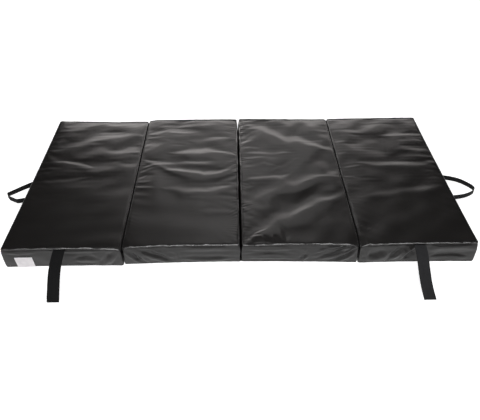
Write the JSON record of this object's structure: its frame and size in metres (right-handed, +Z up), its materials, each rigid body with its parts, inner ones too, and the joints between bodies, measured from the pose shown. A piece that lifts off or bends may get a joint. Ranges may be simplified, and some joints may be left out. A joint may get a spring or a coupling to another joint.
{
  "type": "folding crash mat",
  "caption": "Folding gymnastics crash mat of padded panels with webbing carry handles, closing straps and zipped covers.",
  "frame": {"origin": "on the floor, in the middle of the open mat's four panels", "axes": "+X along the mat from the panel with the label to the last panel, +Y from the side with the straps to the side with the zips, +Z up"},
  "size_m": [2.2754, 1.2247, 0.105],
  "materials": {
    "cover_vinyl": "semi-gloss coated fabric with a fine grain",
    "foam": "open-cell foam, matt",
    "webbing": "ribbed webbing, matt",
    "hook_tape": "hook tape, matt",
    "loop_tape": "brushed loop tape, matt",
    "label_satin": "blank woven satin",
    "zip_tape": "woven zip tape and coil",
    "zip_metal": "dark plated metal"
  },
  "bodies": {
    "panel_1": {"foam_core_1": "foam", "top_cover_1": "cover_vinyl", "side_band_1": "cover_vinyl", "bottom_cover_1": "cover_vinyl", "zip_1": "zip_tape", "fold_web_1_2_on_panel_1": "cover_vinyl", "handle_left_tab_back": "webbing", "handle_left_tab_front": "webbing", "strap_left_tab": "webbing", "care_label": "label_satin"},
    "panel_2": {"foam_core_2": "foam", "top_cover_2": "cover_vinyl", "side_band_2": "cover_vinyl", "bottom_cover_2": "cover_vinyl", "zip_2": "zip_tape", "fold_web_1_2_on_panel_2": "cover_vinyl", "fold_web_2_3_on_panel_2": "cover_vinyl"},
    "panel_3": {"foam_core_3": "foam", "top_cover_3": "cover_vinyl", "side_band_3": "cover_vinyl", "bottom_cover_3": "cover_vinyl", "zip_3": "zip_tape", "fold_web_2_3_on_panel_3": "cover_vinyl", "fold_web_3_4_on_panel_3": "cover_vinyl"},
    "panel_4": {"foam_core_4": "foam", "top_cover_4": "cover_vinyl", "side_band_4": "cover_vinyl", "bottom_cover_4": "cover_vinyl", "zip_4": "zip_tape", "fold_web_3_4_on_panel_4": "cover_vinyl", "handle_right_tab_back": "webbing", "handle_right_tab_front": "webbing", "strap_right_tab": "webbing"},
    "handle_left": {"handle_left": "webbing"},
    "handle_right": {"handle_right": "webbing"},
    "strap_left": {"strap_left_root": "webbing"},
    "strap_left_end": {"strap_left_end": "webbing", "strap_left_hook_tape": "hook_tape"},
    "strap_right": {"strap_right_root": "webbing", "strap_right_loop_tape_root": "loop_tape"},
    "strap_right_end": {"strap_right_end": "webbing", "strap_right_loop_tape_end": "loop_tape"},
    "zip_slider_1": {"zip_slider_1": "zip_metal"},
    "zip_slider_2": {"zip_slider_2": "zip_metal"},
    "zip_slider_3": {"zip_slider_3": "zip_metal"},
    "zip_slider_4": {"zip_slider_4": "zip_metal"},
    "zip_pull_1": {"zip_pull_1": "zip_metal"},
    "zip_pull_2": {"zip_pull_2": "zip_metal"},
    "zip_pull_3": {"zip_pull_3": "zip_metal"},
    "zip_pull_4": {"zip_pull_4": "zip_metal"}
  },
  "joints": [
    {"name": "fold_1_2", "type": "hinge", "parent": "panel_1", "child": "panel_2", "pos_m": [-0.5, 0, 0.1055], "axis": [0, -1, 0], "range_deg": [0, 179]},
    {"name": "fold_2_3", "type": "hinge", "parent": "panel_2", "child": "panel_3", "pos_m": [0, 0, -0.0005], "axis": [0, 1, 0], "range_deg": [0, 179]},
    {"name": "fold_3_4", "type": "hinge", "parent": "panel_3", "child": "panel_4", "pos_m": [0.5, 0, 0.1055], "axis": [0, -1, 0], "range_deg": [0, 179]},
    {"name": "handle_left_swing", "type": "hinge", "parent": "panel_1", "child": "handle_left", "pos_m": [-1.015, -0.054, 0.05], "axis": [0, 1, 0], "range_deg": [-20, 75]},
    {"name": "handle_right_swing", "type": "hinge", "parent": "panel_4", "child": "handle_right", "pos_m": [1.015, -0.061, 0.05], "axis": [0, -1, 0], "range_deg": [-12, 75]},
    {"name": "strap_left_lift", "type": "hinge", "parent": "panel_1", "child": "strap_left", "pos_m": [-0.756, -0.502, 0.097], "axis": [-1, 0, 0], "range_deg": [0, 90]},
    {"name": "strap_left_straighten", "type": "hinge", "parent": "strap_left", "child": "strap_left_end", "pos_m": [-0.756, -0.61004, 0.0683], "axis": [-1, 0, 0], "range_deg": [0, 18]},
    {"name": "strap_right_lift", "type": "hinge", "parent": "panel_4", "child": "strap_right", "pos_m": [0.752, -0.502, 0.097], "axis": [1, 0, 0], "range_deg": [-90, 0]},
    {"name": "strap_right_straighten", "type": "hinge", "parent": "strap_right", "child": "strap_right_end", "pos_m": [0.752, -0.60634, 0.0469], "axis": [1, 0, 0], "range_deg": [-9, 0]},
    {"name": "zip_1_slide", "type": "slide", "parent": "panel_1", "child": "zip_slider_1", "axis": [-1, 0, 0], "range_m": [0, 0.38]},
    {"name": "zip_2_slide", "type": "slide", "parent": "panel_2", "child": "zip_slider_2", "axis": [-1, 0, 0], "range_m": [0, 0.38]},
    {"name": "zip_3_slide", "type": "slide", "parent": "panel_3", "child": "zip_slider_3", "axis": [-1, 0, 0], "range_m": [0, 0.38]},
    {"name": "zip_4_slide", "type": "slide", "parent": "panel_4", "child": "zip_slider_4", "axis": [-1, 0, 0], "range_m": [0, 0.38]},
    {"name": "zip_pull_1_swing", "type": "hinge", "parent": "zip_slider_1", "child": "zip_pull_1", "pos_m": [-0.559, 0.50882, 0.05], "axis": [1, 0, 0], "range_deg": [0, 175]},
    {"name": "zip_pull_2_swing", "type": "hinge", "parent": "zip_slider_2", "child": "zip_pull_2", "pos_m": [-0.059, 0.50882, 0.05], "axis": [1, 0, 0], "range_deg": [0, 175]},
    {"name": "zip_pull_3_swing", "type": "hinge", "parent": "zip_slider_3", "child": "zip_pull_3", "pos_m": [0.441, 0.50882, 0.05], "axis": [1, 0, 0], "range_deg": [0, 175]},
    {"name": "zip_pull_4_swing", "type": "hinge", "parent": "zip_slider_4", "child": "zip_pull_4", "pos_m": [0.941, 0.50882, 0.05], "axis": [1, 0, 0], "range_deg": [0, 175]}
  ],
  "couplings": [
    {"joint": "fold_2_3", "follows": "fold_1_2", "ratio": 1},
    {"joint": "strap_left_straighten", "follows": "strap_left_lift", "ratio": 0.2},
    {"joint": "strap_right_straighten", "follows": "strap_right_lift", "ratio": 0.1}
  ]
}
